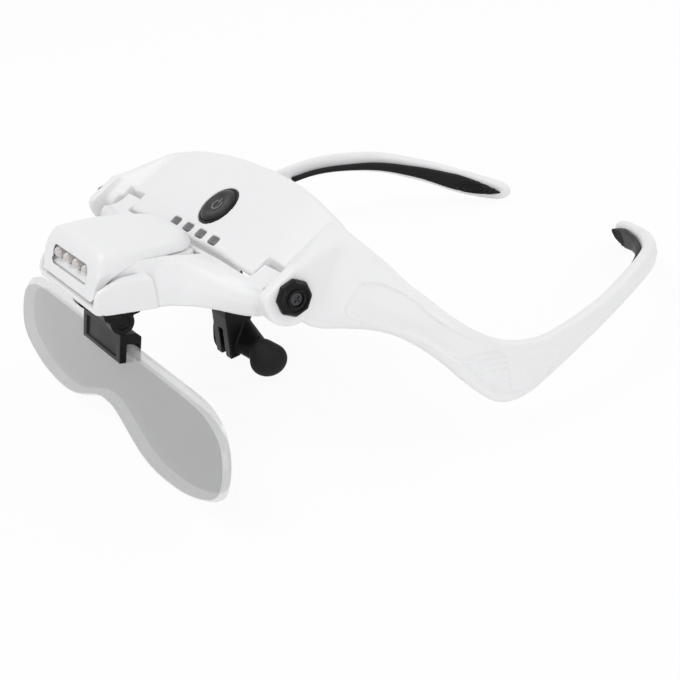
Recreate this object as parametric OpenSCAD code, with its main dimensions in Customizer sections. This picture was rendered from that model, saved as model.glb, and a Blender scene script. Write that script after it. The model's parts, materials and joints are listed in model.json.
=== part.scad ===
// Headband magnifier with a flip-up visor, a tilting lamp and an exchangeable lens.
// The band is laid out from the pivot axis of the visor: X to the wearer's left,
// Y towards the back of the head, Z up. It stands on its lens and its two arm tips.

/* [Stance] */
// Distance from the pivot axis back to the middle of the footprint
foot_y = 47.8; // [47:0.05:51]

/* [Brow plate] */
// Slope of the brow plate in degrees
brow_slope = 24; // [20:0.5:27]
// Height of the plate's outer face over the pivot axis
brow_z = 1.7; // [1.4:0.1:2.2]
// Thickness of the brow plate
brow_t = 2.4; // [2:0.1:2.8]
// Thickness of the arms at the ear
arm_t = 3.6; // [3:0.1:4]
// Thickness of the arm tips
tip_t = 4.2; // [3.4:0.1:4.8]
// Steps of the lofted band between two stations
band_steps = 3; // [2:1:4]

/* [Pivots] */
// Half distance between the outer faces of the two pivot caps
cap_x = 56.5; // [56:0.1:58]
// Corner radius of the octagonal cap
cap_r = 4.8; // [4:0.1:5.5]
// Thickness of the octagonal cap
cap_t = 2.2; // [1.8:0.1:2.6]
// Radius of the round boss on the temple
boss_r = 7.6; // [7:0.1:8.2]
// Inner face of the boss
boss_x = 50.6; // [50:0.1:51]
// Radius of the pivot pin
pin_r = 1; // [0.8:0.05:1.05]
// Thickness of the friction washer
washer_t = 0.5; // [0.3:0.05:0.7]

/* [Hinge ears] */
// Inner edge of the notch in the brow plate
notch_in = 36.4; // [35:0.1:37]
// Outer edge of the notch in the brow plate
notch_out = 46.2; // [45:0.1:47]
// How far the notch reaches behind the pivot axis
notch_y = 4.6; // [4.4:0.1:5]
// Side clearance of the ears
ear_gap = 0.4; // [0.3:0.05:0.6]

/* [Power button] */
// Distance of the button's centre up the slope
button_v = 11.6; // [11:0.1:12.5]
// Radius of the button
button_r = 5.7; // [5.5:0.1:6.6]
// Running clearance of the button
button_gap = 0.15; // [0.1:0.05:0.25]
// Travel of the button
button_travel = 0.5; // [0.3:0.05:0.6]
// Height of the button over the plate
button_proud = 0.9; // [0.6:0.1:1.4]
// Width of the rim ring round the button
rim_w = 0.7; // [0.5:0.1:0.9]

/* [Indicators] */
// Distance of the windows up the slope
window_v = 2.1; // [1.9:0.1:2.4]
// Spacing of the windows
window_pitch = 7.5; // [6.5:0.1:8]
// Width of a window
window_w = 4; // [3:0.1:4.4]
// Length of a window up the slope
window_l = 2.4; // [1.8:0.1:2.6]

/* [Rear cover] */
// Half width of the rear cover
cover_x = 35; // [34:0.5:36]
// Lower end of the cover up the slope
cover_v0 = 5.4; // [5.2:0.1:5.8]
// Upper end of the cover up the slope
cover_v1 = 24.3; // [24:0.1:25]
// Depth of the cavity under the plate
cavity_d = 6.2; // [6:0.1:7]
// Wall of the covers
wall = 1.4; // [1.2:0.1:1.6]
// Half width of the cover's tongue under the windows
tongue_x = 16; // [15.5:0.1:17]
// Radius of a cover screw
screw_r = 0.9; // [0.8:0.05:1]
// Clearance round screws and board edges
fit_gap = 0.05; // [0.04:0.01:0.1]

/* [Lamp] */
// Spacing of the four lamps
led_pitch = 6.2; // [5.6:0.1:6.6]
// Diameter of a lamp
led_d = 3; // [2.6:0.1:3.2]
// Distance of the lamp's tilt axis in front of the pivot axis
lamp_axis_y = 7; // [6.5:0.1:7.5]
// Height of the lamp's tilt axis
lamp_axis_z = 1.2; // [1:0.1:1.4]
// Radius of the lamp's tilt pin
lamp_pin_r = 0.8; // [0.7:0.05:0.9]
// Clearance between the lamp and the visor
lamp_gap = 0.4; // [0.3:0.05:0.5]

/* [Lens] */
// Half width of the lens
lens_x = 67.5; // [66:0.5:71]
// Height of the lens from its top edge to the lowest point of a lobe
lens_h = 28; // [26:0.5:29]
// Thickness of the lens
lens_t = 3; // [2.5:0.1:3.2]
// Forward lean of the lens in degrees
lens_lean = 18; // [16:0.5:20]
// Hinge axis of the lens clip in front of the pivot axis
hinge_y = 28.8; // [28.5:0.1:29.1]
// Hinge axis of the lens clip below the pivot axis
hinge_z = 8.3; // [8.2:0.1:8.6]
// Radius of the hinge pin
hinge_r = 1.1; // [1:0.05:1.2]
// Half width of the lens clip
clip_x = 12.5; // [12:0.1:13]
// Depth of the lens in its clip
lens_grip = 5; // [4:0.1:5.5]
// Clearance round the lens in its clip
lens_gap = 0.1; // [0.08:0.01:0.2]

/* [Nose piece] */
// Half width of the nose stem
stem_x = 4.4; // [4:0.1:5]
// Half distance between the nose pads' centres
nose_x = 12.6; // [12:0.1:13.4]
// Radius of a nose pad
nose_r = 5.4; // [5:0.1:5.6]

/* [Hidden] */
$fn = 48;

white = "#f2f2f4";
black = "#2a2a2c";
steel = "#a8a9ad";

// Stations of the band: front or lower edge, rear or upper edge, both from the pivot axis
stations = [
    [[0, -0.6], [0, 26]],
    [[16, -0.3], [16, 25.5]],
    [[32, -1.1], [31, 23.6]],
    [[43.5, -1.3, 0.6], [43.5, 21.8, 10]],
    [[50.5, -0.4, -4], [51.5, 20.9, 8.6]],
    [[54, 3.6, -10.4], [57, 21.6, 5.8]],
    [[58, 10, -12.4], [62, 23.2, 1.6]],
    [[62.8, 14.8, -13.4], [66.3, 24.6, -2.6]],
    [[68, 19, -16], [70.8, 25.8, -5.6]],
    [[73.4, 24, -22], [75.4, 27.6, -9.8]],
    [[78, 29, -29.2], [79, 31.6, -14.4]],
    [[81.5, 35, -35.8], [81.5, 38, -19.4]],
    [[83.5, 42, -36.8], [83.4, 44.6, -22]],
    [[84.2, 52, -34], [84.2, 53.4, -23.2]],
    [[83, 69.5, -29.4], [83, 70.5, -22.2]],
    [[78.4, 86, -27.8], [78.4, 87, -21.2]],
    [[68.8, 103, -30.4], [68.8, 104, -23.2]],
    [[56, 115, -35.4], [56, 116, -27.4]],
    [[44, 123.2, -40.3], [44, 124.2, -31.6]],
    [[33.8, 129.4, -42.47], [33.8, 130.4, -35.2]],
    [[27, 132.8, -42.2], [27, 133.4, -37]]];
pad_from = 14.3;

// Height of the brow plane over a point at the distance y behind the pivot axis
function brow_at(y) = brow_z + y * tan(brow_slope);
function lift(p) = len(p) == 3 ? p : [p[0], p[1], brow_at(p[1])];
function flip(p) = [-p[0], p[1], p[2]];
function unit(v) = v / norm(v);
// Point on a Catmull-Rom curve through four points
function curve(a, b, c, d, t) = 0.5 * (2 * b + (c - a) * t
    + (2 * a - 5 * b + 4 * c - d) * t * t + (3 * b - a - 3 * c + d) * t * t * t);
last = len(stations) - 1;
function edge(k, side) = k < 0 ? flip(lift(stations[-k][side]))
    : lift(stations[min(k, last)][side]);
function along(s, side) = let(k = min(floor(s), last - 1), t = s - k)
    curve(edge(k - 1, side), edge(k, side), edge(k + 1, side), edge(k + 2, side), t);
function middle(s) = (along(s, 0) + along(s, 1)) / 2;
// Frame of the band at s: lower edge, height, direction up the band and outward normal
function up_dir(s) = unit(along(s, 1) - along(s, 0));
function out_dir(s) = let(d = 0.05, a = max(s - d, -d), b = min(s + d, last))
    unit(cross(unit(middle(b) - middle(a)), up_dir(s)));
function band_t(s) = s < 3 ? brow_t : s < 6 ? brow_t + (arm_t - brow_t) * (s - 3) / 3
    : s < 14 ? arm_t : arm_t + (tip_t - arm_t) * (s - 14) / (last - 14);
// Rounded section between depths w0 and w1, inset from both edges and cut at the top, as a ring
function section(s, w0, w1, inset, crown, cut = 0) =
    let(a = along(s, 0), b = along(s, 1), e = up_dir(s), n = out_dir(s),
        h = norm(b - a) - inset - cut, r = min((w0 - w1) / 2, (h - inset) / 2 - 0.1), m = (w0 + w1) / 2)
    [for (q = concat(
        [for (g = [-90:45:90]) [h - r + r * cos(g), m - r * sin(g)]], [[(h + inset) / 2, w1]],
        [for (g = [90:45:270]) [inset + r + r * cos(g), m - r * sin(g)]],
        [[(h + inset) / 2, w0 + crown]])) a + e * q[0] + n * q[1]];

// Closed solid through rings with equal numbers of points, with fans at both ends
module loft(rings) {
    n = len(rings[0]);
    m = len(rings);
    pts = concat([for (r = rings) for (p = r) p], [mean(rings[0])], [mean(rings[m - 1])]);
    sides = [for (i = [0:m - 2]) for (j = [0:n - 1]) let(k = (j + 1) % n)
        each [[i * n + j, (i + 1) * n + j, (i + 1) * n + k], [i * n + j, (i + 1) * n + k, i * n + k]]];
    ends = [for (j = [0:n - 1]) let(k = (j + 1) % n)
        each [[m * n, j, k], [m * n + 1, (m - 1) * n + k, (m - 1) * n + j]]];
    polyhedron(pts, concat(sides, ends));
}
function mean(r) = [for (i = [0:2]) [for (p = r) p[i]] * [for (p = r) 1] / len(r)];

module placed() {
    translate([0, -foot_y, pivot_h]) children();
}
// Local frame of the brow plate: X across, Y up the slope, Z out of the plate
module on_brow() {
    translate([0, 0, brow_z]) rotate([brow_slope, 0, 0]) children();
}
module mirrored() {
    children();
    mirror([1, 0, 0]) children();
}
// Cylinder along X from x0 to x1
module rod(x0, x1, r) {
    translate([x0, 0, 0]) rotate([0, 90, 0]) cylinder(r = r, h = x1 - x0);
}
// Box given by its corners
module block(a, b) {
    translate(a) cube(b - a);
}
// Block with edges rounded along Z
module plate(a, b, r) {
    translate([0, 0, a[2]]) linear_extrude(b[2] - a[2])
        hull() for (x = [a[0] + r, b[0] - r], y = [a[1] + r, b[1] - r])
            translate([x, y]) circle(r = r, $fn = 32);
}

// Headband: one moulding from arm tip to arm tip, with bosses, notches and bores
function band_ring(s) = s < 0 ? [for (p = section(-s, 0, -band_t(-s), 0, 0.25)) flip(p)]
    : section(s, 0, -band_t(s), 0, 0.25);
boss_face = cap_x - cap_t;
boss_in_r = 3.1;
boss_top = 3.6;
boss_corner = 3;
post_r = 2;
button_hole = button_r + button_gap;
rim_depth = 0.7;
screw_x = cover_x - wall - post_r - 0.1;
screw_vs = [cover_v0 + wall + post_r + 0.1, cover_v1 - wall - post_r - 0.1];
cavity_w = brow_t + cavity_d;
// Round boss with a flat top, rounded at its corners, that runs into the brow plate
module boss_profile() {
    a = acos((boss_top + brow_z * cos(brow_slope)) / boss_r);
    steps = 24;
    offset(r = boss_corner) offset(delta = -boss_corner)
        polygon([for (k = [0:steps]) let(g = brow_slope + 90 + a + k * (360 - 2 * a) / steps)
            boss_r * [cos(g), sin(g)]]);
}
// Shoulder that carries the top of the boss back to the upper edge of the band
shoulder_y = 19.2;
shoulder_z = 7;
module shoulder() {
    hull() {
        across(boss_x, boss_face) boss_profile();
        translate([boss_x + 0.7, shoulder_y, shoulder_z]) cube(1.2, center = true);
    }
    hull() {
        across(notch_out, boss_x + 0.5) polygon([[-0.8, -2.6], [-0.8, brow_at(-0.8)],
            [5, brow_at(5)], [5, -1]]);
        block([notch_out + 0.8, 16.4, 5.6], [boss_x + 0.2, 17, 6.4]);
    }
}
module headband_frame() color(white) placed() difference() {
    union() {
        loft([for (k = [last * band_steps:-1:-last * band_steps]) band_ring(k / band_steps)]);
        mirrored() shoulder();
        mirrored() rod(notch_out - 1, boss_x + 1, boss_in_r);
        on_brow() mirrored() for (v = screw_vs)
            translate([screw_x, v, -cavity_w]) cylinder(r = post_r, h = cavity_d + 0.6);
    }
    mirrored() rod(notch_in, cap_x, pin_r + fit_gap);
    mirrored() block([notch_in, -6, -12], [notch_out, notch_y, 12]);
    on_brow() {
        translate([0, button_v, -6]) cylinder(r = button_hole, h = 8);
        translate([0, button_v, -rim_depth]) cylinder(r = button_hole + rim_w + fit_gap, h = 3);
        window_places() block([-window_w / 2, -window_l / 2, -6] - [fit_gap, fit_gap, 0],
            [window_w / 2, window_l / 2, 4] + [fit_gap, fit_gap, 0]);
        mirrored() for (v = screw_vs) translate([screw_x, v, -cavity_w - 1])
            cylinder(r = screw_r + fit_gap, h = cavity_d + 0.4);
    }
}
module window_places() {
    for (k = [-1.5:1.5]) translate([k * window_pitch, window_v, 0]) children();
}

// Cover that closes the electronics behind the brow plate, cut to the plate's inner face
function over_section(s) = section(s, 3, -band_t(s) - fit_gap, -4, 0);
function over_ring(s) = s < 0 ? [for (p = over_section(-s)) flip(p)] : over_section(s);
tongue_v = 1.2;
socket_v = (screw_vs[0] + screw_vs[1]) / 2;
socket_w = 7.5;
socket_h = 2.8;
board_t = 1;
board_w = -(cavity_w - 0.3 - board_t);
module brow_rear_cover() color(white) placed() on_brow() difference() {
    union() {
        plate([-cover_x, cover_v0, -cavity_w - wall], [cover_x, cover_v1, -brow_t + 0.6], 3);
        plate([-tongue_x, 0.4, -cavity_w - wall], [tongue_x, cover_v0 + 4, -brow_t + 0.6], 1.5);
    }
    rotate([-brow_slope, 0, 0]) translate([0, 0, -brow_z])
        loft([for (k = [3 * band_steps:-1:-3 * band_steps]) over_ring(k / band_steps)]);
    plate([wall - cover_x, cover_v0 + wall, -cavity_w], [cover_x - wall, cover_v1 - wall, 1], 1.6);
    plate([wall - tongue_x, tongue_v, -cavity_w], [tongue_x - wall, cover_v0 + 3, 1], 0.6);
    mirrored() translate([nose_screw_x, nose_screw_v, -cavity_w - wall - 1])
        cylinder(r = screw_r + fit_gap, h = 2);
    mirrored() for (v = screw_vs) translate([screw_x, v, -20]) cylinder(r = screw_r + 0.15, h = 19);
    mirrored() for (v = screw_vs) translate([screw_x, v, -20])
        cylinder(r = 1.8, h = 20 - cavity_w - wall + 0.8);
    translate([-cover_x - 1, socket_v - socket_w / 2 - 0.1, board_w])
        cube([wall + 2, socket_w + 0.2, socket_h + 0.1]);
}
module screw(head_r, head_h, length) {
    cylinder(r = head_r, h = head_h);
    cylinder(r = screw_r, h = length);
}
module cover_screws() color(steel) placed() on_brow() mirrored() for (v = screw_vs)
    translate([screw_x, v, -cavity_w - wall]) screw(1.7, 0.75, 5);

// Electronics behind the brow plate
board_x = 12;
module main_circuit_board() color("#1f6b3c") placed() on_brow() {
    b = board_w - board_t;
    v0 = cover_v0 + wall + 0.3;
    v1 = cover_v1 - wall - 0.3;
    difference() {
        union() {
            block([-screw_x + 2.5, v0, b], [board_x, v1, board_w]);
            block([-cover_x + wall + 0.3, screw_vs[0] + 2.5, b], [0, screw_vs[1] - 2.5, board_w]);
            block([-tongue_x + wall + 0.3, tongue_v + 0.2, b],
                [tongue_x - wall - 0.3, v0 + 0.2, board_w]);
        }
        translate([-24, button_v + 8, b - 1]) cylinder(r = 1, h = 4);
    }
}
switch_top = board_w + 2.2;
module tact_switch() color("#3a3a3c") placed() on_brow() translate([0, button_v, board_w]) {
    block([-3, -3, 0], [3, 3, 1.7]);
    cylinder(r = 1.6, h = switch_top - board_w);
}
module battery_cell() color("#b9bcc4") placed() on_brow()
    plate([board_x + 1.2, cover_v0 + wall + 0.6, board_w - board_t],
        [screw_x - 2.6, cover_v1 - wall - 0.6, board_w - board_t + 4], 1.2);
module charge_socket() color(steel) placed() on_brow() difference() {
    block([-cover_x + 0.1, socket_v - socket_w / 2, board_w],
        [-cover_x + 6, socket_v + socket_w / 2, board_w + socket_h]);
    block([-cover_x - 1, socket_v - socket_w / 2 + 0.6, board_w + 0.5],
        [-cover_x + 5, socket_v + socket_w / 2 - 0.6, board_w + socket_h - 0.5]);
}
module indicator_windows() color("#6a6b6d") placed() on_brow() window_places() {
    block([-window_w / 2, -window_l / 2, -brow_t], [window_w / 2, window_l / 2, 0.05]);
    block([-1.2, -0.8, board_w + 1.1], [1.2, 0.8, -brow_t / 2]);
}
module indicator_leds() color("#e9e6c8") placed() on_brow() window_places()
    block([-1, -0.6, board_w], [1, 0.6, board_w + 0.8]);

// Power button, pressed along the normal of the brow plate
module button_rim() color("#1c1c1e") placed() on_brow() translate([0, button_v, -rim_depth])
    difference() {
        cylinder(r = button_hole + rim_w, h = rim_depth + 0.15);
        translate([0, 0, -1]) cylinder(r = button_hole, h = 4);
    }
module power_button() color("#3b3b3d") placed() on_brow() translate([0, button_v, 0])
    rotate_extrude() polygon([[0, switch_top + button_travel + 0.1],
        [1.5, switch_top + button_travel + 0.1], [1.5, -brow_t - 1],
        [button_r + 0.6, -brow_t - 1], [button_r + 0.6, -brow_t - 0.3],
        [button_r, -brow_t - 0.3], [button_r, button_proud - 0.7],
        [button_r - 0.3, button_proud - 0.25], [button_r - 0.9, button_proud],
        [button_r - 2.5, button_proud + 0.15], [0, button_proud + 0.25]]);

// Pivots of the visor
ear_out = notch_out - washer_t - 0.1;
ear_in = notch_in + ear_gap;
pin_in = ear_in + 1.6;
shank_r = 0.5;
head_x = cap_x - 0.75;
module pivot_pins() color(steel) placed() mirrored() difference() {
    rod(pin_in, head_x - fit_gap, pin_r);
    rod(head_x - 3.4, cap_x, shank_r + fit_gap);
}
module friction_washers() color("#d9d9dc") placed() mirrored() difference() {
    rod(ear_out + 0.05, notch_out - 0.05, 2.2);
    rod(ear_out - 1, notch_out + 1, pin_r + 0.1);
}
module octagon(x, h, r0, r1) {
    translate([x, 0, 0]) rotate([0, 90, 0]) rotate([0, 0, 35]) cylinder(r1 = r0, r2 = r1, h = h, $fn = 8);
}
module pivot_cap() difference() {
    intersection() {
        octagon(boss_face, cap_t, cap_r, cap_r);
        octagon(boss_face - 1, cap_t + 1, cap_r - 0.5 + (cap_t + 1) * 0.8, cap_r - 0.5);
    }
    difference() {
        rod(cap_x - 0.5, cap_x + 1, 3.1);
        rod(cap_x - 1, cap_x + 1, 2.5);
    }
    rod(head_x - fit_gap, cap_x + 1, 1.8);
    rod(boss_face - 1, cap_x + 1, pin_r + fit_gap);
}
module pivot_cap_left() color(black) placed() pivot_cap();
module pivot_cap_right() color(black) placed() mirror([1, 0, 0]) pivot_cap();
module cap_screws() color(steel) placed() mirrored() difference() {
    union() {
        rod(head_x, head_x + 0.5, 1.7);
        rod(head_x - 3.2, head_x + 0.2, shank_r);
    }
    rod(head_x + 0.2, cap_x, 0.6);
}

// Soft pads on the inner faces of the arms
pad_gap = 0.3;
pad_t = 1.5;
pad_cut = 2.6;
function pad_cut_at(s) = pad_cut * max(0, min(1, (18 - s) / 2.4));
module arm_pad() {
    loft([for (s = [last - 0.2:-0.5:pad_from])
        section(s, -band_t(s) - pad_gap, -band_t(s) - pad_gap - pad_t, 0.9, 0, pad_cut_at(s))]);
}
module arm_pad_left() color(black) placed() arm_pad();
module arm_pad_right() color(black) placed() mirror([1, 0, 0]) arm_pad();

// Nose piece under the rear cover: flange, stem, two webs and two pads
flange_v = [1.6, 8.6];
flange_x = 7.4;
flange_t = 1.6;
flange_w = -cavity_w - wall - flange_t;
nose_screw_x = flange_x - 1.5;
nose_screw_v = 3;
pad_y = 9;
pad_z = -37;
// Height under the brow plate at the depth w over a point behind the pivot axis
function under_at(y, w) = brow_z + (w + y * sin(brow_slope)) / cos(brow_slope);
module nose_web(grow) hull() {
    translate([stem_x - 1.6, 8.8, -27.6]) sphere(r = 1.6 + grow, $fn = 20);
    translate([stem_x - 1.8, 4.6, -33.6]) sphere(r = 1.7 + grow, $fn = 20);
    translate([nose_x - 2.6, pad_y + 0.2, pad_z + 3.6]) sphere(r = 1.8 + grow, $fn = 20);
    translate([nose_x - 2.6, pad_y - 0.8, pad_z]) sphere(r = 2 + grow, $fn = 20);
}
module nose_bracket() color(black) placed() difference() {
    union() {
        on_brow() block([-flange_x, flange_v[0], flange_w], [flange_x, flange_v[1], flange_w + flange_t]);
        across(-stem_x, stem_x) polygon([[6.4, under_at(6.4, flange_w + 0.8)],
            [11.4, under_at(11.4, flange_w + 0.8)], [10.8, -26.4], [4.4, -36.6], [1.4, -36.6],
            [2.8, -24], [5.4, -12]]);
        mirrored() nose_web(0);
    }
    block([-2.6, 0, -22], [2.6, 5, -14]);
    block([-1.2, 0, -38], [1.2, 12, -28]);
    on_brow() mirrored() translate([nose_screw_x, nose_screw_v, flange_w - 1])
        cylinder(r = screw_r + fit_gap, h = flange_t + 2);
}
module nose_screws() color(steel) placed() on_brow() mirrored()
    translate([nose_screw_x, nose_screw_v, flange_w - 0.75]) screw(1.4, 0.7, 3.1);
module nose_pad() difference() {
    translate([nose_x, pad_y, pad_z]) rotate([12, 0, -22]) hull() {
        scale([0.42, 1, 0.96]) sphere(r = nose_r, $fn = 32);
        translate([-0.3, -0.4, 3.4]) scale([0.42, 0.86, 0.8]) sphere(r = nose_r - 1, $fn = 32);
    }
    nose_web(0.3);
}
module nose_pad_left() color(black) placed() nose_pad();
module nose_pad_right() color(black) placed() mirror([1, 0, 0]) nose_pad();

// Visor: sections at half widths from the wing's end to the nose, each as
// rear top, ridge, front bottom and rear bottom
wings = [
    [notch_out + 2.6, [-4.6, 1], [-5.8, 0.2], [-6.6, -4.4], [-4.8, -4.8]],
    [notch_out - 0.2, [-3, 0.9], [-4.8, 0.2], [-6.4, -5.4], [-3.2, -5.6]],
    [notch_out - 4.2, [-2.3, 1], [-5.6, -0.2], [-7.4, -6.2], [-3, -6]],
    [notch_in + 1.6, [-2.3, 1], [-6.8, 0.2], [-9, -6.2], [-3, -6]],
    [32, [-2.3, 1.1], [-8.6, 1.2], [-12, -5.6], [-3.2, -6]],
    [27, [-2.2, 1.2], [-10, 2.6], [-15, -5.2], [-4, -6]],
    [22, [-2.2, 1.4], [-12.5, 4.4], [-18.6, -5.2], [-5, -6.2]],
    [18.8, [-2.2, 1.4], [-16, 6.2], [-23.5, -4.8], [-6, -6.4]],
    [17.6, [-2.2, 1.4], [-22, 7.8], [-29.4, -3.4], [-7, -6.4]],
    [16.4, [-2.2, 1.4], [-27, 8.2], [-33.8, -1.6], [-8, -6.4]]];
base_t = 1.2;
wing_last = len(wings) - 1;
function wing_at(k, j) = let(c = max(0, min(wing_last, k))) j == 0 ? [wings[c][0], 0] : wings[c][j];
// Section numbers run from one wing's end through the nose to the other
function wing_pt(s, j) = let(k = min(floor(s), wing_last - 1), t = s - k)
    curve(wing_at(k - 1, j), wing_at(k, j), wing_at(k + 1, j), wing_at(k + 2, j), t);
function shell_ring(s, side) = let(x = side * wing_pt(s, 0)[0], r = wing_pt(s, 1), g = wing_pt(s, 2),
    f = wing_pt(s, 3) + [0.2, base_t], q = wing_pt(s, 4) + [0, base_t],
    m = (r + g) / 2 + [0, 0.4 + (r[0] - g[0]) * 0.02])
    [for (p = [r + [0, -0.5], r + [-0.5, 0], m, g + [0.9, 0.1], g + [-0.3, -0.7],
        (g + f) / 2 + [-0.5, 0.3], f, q]) [x, p[0], p[1]]];
function base_ring(s, side) = let(x = side * wing_pt(s, 0)[0], f = wing_pt(s, 3), q = wing_pt(s, 4))
    [for (p = [f + [0.1, base_t - fit_gap], f + [0, 0.5], f + [0.7, 0], q + [-0.6, 0], q + [0, 0.5],
        q + [0, base_t - fit_gap]]) [x, p[0], p[1]]];
wing_steps = 2;
sections_a = [for (k = [0:wing_last * wing_steps]) k / wing_steps];
sections_b = [for (k = [wing_last * wing_steps:-1:0]) k / wing_steps];
well_x = 15.2;
well_y = 3.8;
module ear_profile() polygon([[-4, -2.6], [2, -2.6], [3.1, -1.6], [3.1, brow_at(3.1) - 0.3],
    [0, brow_z - 0.2], [-4, 1]]);
// Profile in the plane of Y and Z, extruded along X
module across(x0, x1) {
    translate([x0, 0, 0]) rotate([90, 0, 90]) linear_extrude(x1 - x0) children();
}
module visor_shell() color(white) placed() difference() {
    union() {
        loft(concat([for (s = sections_a) shell_ring(s, -1)], [for (s = sections_b) shell_ring(s, 1)]));
        mirrored() across(ear_in, ear_out) ear_profile();
    }
    block([-well_x, -45, -8], [well_x, -well_y, 20]);
    mirrored() rod(ear_in - 1, ear_out + 1, pin_r + fit_gap);
    mirrored() rod(notch_out - 0.1, 60, boss_in_r + 0.5);
    translate([0, -lamp_axis_y, lamp_axis_z])
        mirrored() rod(well_x - 1, well_x + 2.6, lamp_pin_r + fit_gap);
    mirrored() across(22, 34) polygon([[-4.6, -12], [-9.6, -12], [-8.2, -0.6], [-4.6, -0.4]]);
    mirrored() for (p = visor_screw_places)
        translate([p[0], p[1], -9]) cylinder(r = screw_r + fit_gap, h = 7.6);
}
visor_screw_places = [[19.4, -10], [39, -5.4]];
module visor_base() color(white) placed() difference() {
    mirror([1, 0, 0])
        loft(concat([for (s = sections_a) base_ring(s, -1)], [for (s = sections_b) base_ring(s, 1)]));
    mirrored() for (p = visor_screw_places)
        translate([p[0], p[1], -12]) cylinder(r = screw_r + 0.15, h = 12);
    mirrored() translate([mount_screw_x, -mount_screw_y, -9]) cylinder(r = screw_r + fit_gap, h = 12);
}
module visor_screws() color(steel) placed() mirrored() for (p = visor_screw_places)
    translate([p[0], p[1], -7]) screw(1.5, 0.7, 5);

// Black mount under the visor, with the ears of the lens hinge
mount_x = 13.4;
mount_screw_x = 6.4;
mount_screw_y = 25.6;
hinge_ear_r = 3.3;
clip_half = clip_x - 3.2;
function base_bottom(y) = wings[wing_last][3][1]
    + (y - wings[wing_last][3][0]) * (wings[wing_last][4][1] - wings[wing_last][3][1])
    / (wings[wing_last][4][0] - wings[wing_last][3][0]);
module at_hinge() {
    translate([0, -hinge_y, -hinge_z]) children();
}
mount_y = [-32.8, -22.8];
module lens_mount() color(black) placed() difference() {
    union() {
        across(-mount_x, mount_x) polygon([
            [mount_y[0], base_bottom(mount_y[0]) - fit_gap], [mount_y[0] - 0.4, -hinge_z + 2.2],
            [mount_y[0] + 1, -hinge_z + 0.8], [mount_y[1] - 0.8, -hinge_z + 0.8],
            [mount_y[1], -hinge_z + 2.4], [mount_y[1], base_bottom(mount_y[1]) - fit_gap]]);
        at_hinge() mirrored() rod(clip_half + 0.3, mount_x, hinge_ear_r);
    }
    at_hinge() rod(-clip_half - 0.3, clip_half + 0.3, hinge_ear_r + 0.2);
    block([-clip_half - 0.3, mount_y[0] - 1, -hinge_z - 1],
        [clip_half + 0.3, mount_y[1] + 1, -hinge_z + 1.6]);
    block([-clip_half + 1, mount_y[0] - 1, -hinge_z + 2],
        [clip_half - 1, mount_y[0] + 1, base_bottom(-hinge_y) - 1.3]);
    at_hinge() rod(-mount_x - 1, mount_x + 1, hinge_r + fit_gap);
    at_hinge() mirrored() rod(mount_x - 0.6, mount_x + 1, 2);
    mirrored() translate([mount_screw_x, -mount_screw_y, -9]) cylinder(r = screw_r + fit_gap, h = 12);
    mirrored() translate([mount_screw_x, -mount_screw_y, -9])
        cylinder(r = 1.6, h = 9 - hinge_z + hinge_ear_r + 1);
}
module lens_mount_screws() color(steel) placed() mirrored()
    translate([mount_screw_x, -mount_screw_y, -hinge_z + hinge_ear_r + 0.3]) screw(1.5, 0.65, 3);
module clip_hinge_pin() color(steel) placed() at_hinge() rod(-mount_x + 0.7, mount_x - 0.7, hinge_r);

// Lens clip: a channel that grips the lens's top edge, leaning forward with it
module at_lens() {
    at_hinge() rotate([-lens_lean, 0, 0]) children();
}
clip_p = [-0.2, 5.8];
clip_q = [-11.5, -3.6];
lens_p = 1.8;
lens_top = clip_q[0] + lens_grip;
pivot_h = hinge_z + (lens_p + lens_t) * sin(lens_lean) + (lens_h - lens_top) * cos(lens_lean);
module lens_clip() color(black) placed() at_lens() difference() {
    union() {
        across(-clip_x, clip_x) polygon([[clip_p[0], clip_q[0]], [clip_p[1], clip_q[0]],
            [clip_p[1], clip_q[1] - 1], [clip_p[1] - 1.4, clip_q[1]], [clip_p[0], clip_q[1]]]);
        rod(-clip_half, clip_half, 2.5);
        block([-clip_half, clip_p[0], clip_q[1] - 1], [clip_half, 2.4, 0]);
    }
    block([-clip_x - 1, lens_p - lens_gap, clip_q[0] - 1],
        [clip_x + 1, lens_p + lens_t + lens_gap, lens_top + lens_gap]);
    block([-clip_x + 2.4, clip_p[0] - 1, clip_q[0] + 1.2],
        [clip_x - 2.4, clip_p[0] + 0.5, clip_q[1] - 1.2]);
    rod(-clip_x, clip_x, hinge_r + fit_gap);
}
// Half outline of the lens below its top edge, from the middle outwards and back
lens_half = [[0, 0], [0.2, 0], [0.5, 0], [0.77, -0.3], [0.875, -1.6], [0.95, -4.4], [0.985, -8.4],
    [1, -12.5], [0.997, -16.5], [0.97, 7.7 - lens_h], [0.89, 4.4 - lens_h], [0.74, 1.4 - lens_h],
    [0.6, 0.2 - lens_h], [0.47, -lens_h], [0.35, 1 - lens_h], [0.24, 3.2 - lens_h],
    [0.15, 5.4 - lens_h], [0.065, 7 - lens_h], [0, 7.2 - lens_h]];
lens_n = len(lens_half) - 1;
function lens_pt(k) = k < 0 ? [-lens_half[-k][0], lens_half[-k][1]]
    : k > lens_n ? [-lens_half[2 * lens_n - k][0], lens_half[2 * lens_n - k][1]] : lens_half[k];
lens_outline = [for (k = [0:lens_n - 1]) for (t = [0:0.5:0.5]) let(
    p = curve(lens_pt(k - 1), lens_pt(k), lens_pt(k + 1), lens_pt(k + 2), t)) [p[0] * lens_x, p[1]]];
module lens() color("#c8ccd2", 0.6) placed() at_lens()
    translate([0, lens_p + lens_t, lens_top]) rotate([90, 0, 0]) linear_extrude(lens_t)
        polygon(concat(lens_outline, [for (k = [len(lens_outline) - 1:-1:1])
            if (lens_outline[k][0] > 0.001) [-lens_outline[k][0], lens_outline[k][1]]]));

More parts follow.
